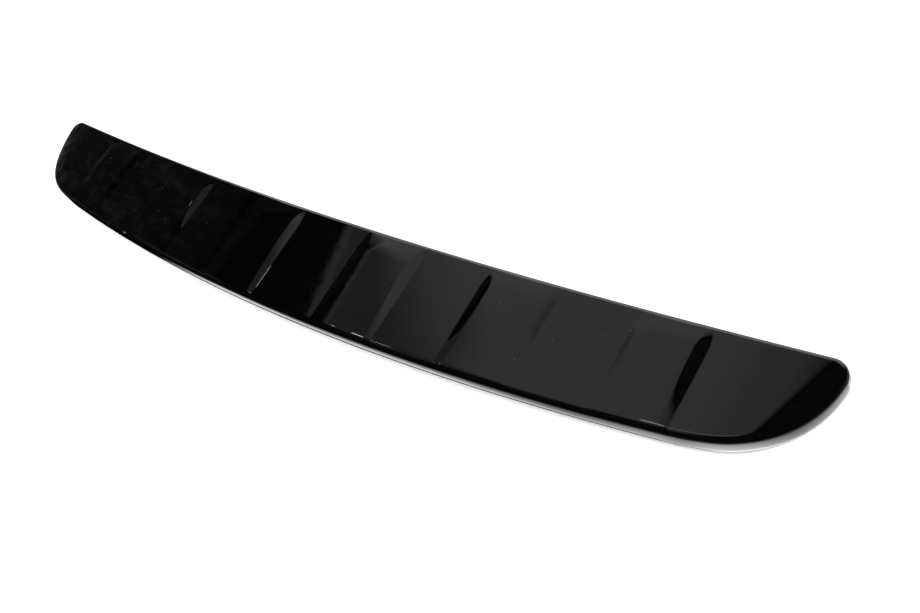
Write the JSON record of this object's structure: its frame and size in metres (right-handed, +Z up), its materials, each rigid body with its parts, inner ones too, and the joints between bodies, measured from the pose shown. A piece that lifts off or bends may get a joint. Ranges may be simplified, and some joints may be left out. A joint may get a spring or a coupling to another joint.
{
  "type": "rear bumper protector",
  "caption": "Long shallow formed cover for the top of a rear bumper, with raised pads on its top, a folded lip along its front and ends, and a hollow underside that is bonded to the bumper.",
  "frame": {"origin": "bottom centre of the part's box, at the level of the cut edge of the lip at both ends", "axes": "+X along the bumper to the car's right as seen from behind it, +Y from the front lip towards the tailgate, +Z up"},
  "size_m": [1.053, 0.1408, 0.0338],
  "materials": {
    "gloss_black": "polished, with fine dust and handling marks"
  },
  "bodies": {
    "root": {"protector_panel": "gloss_black"}
  },
  "joints": []
}
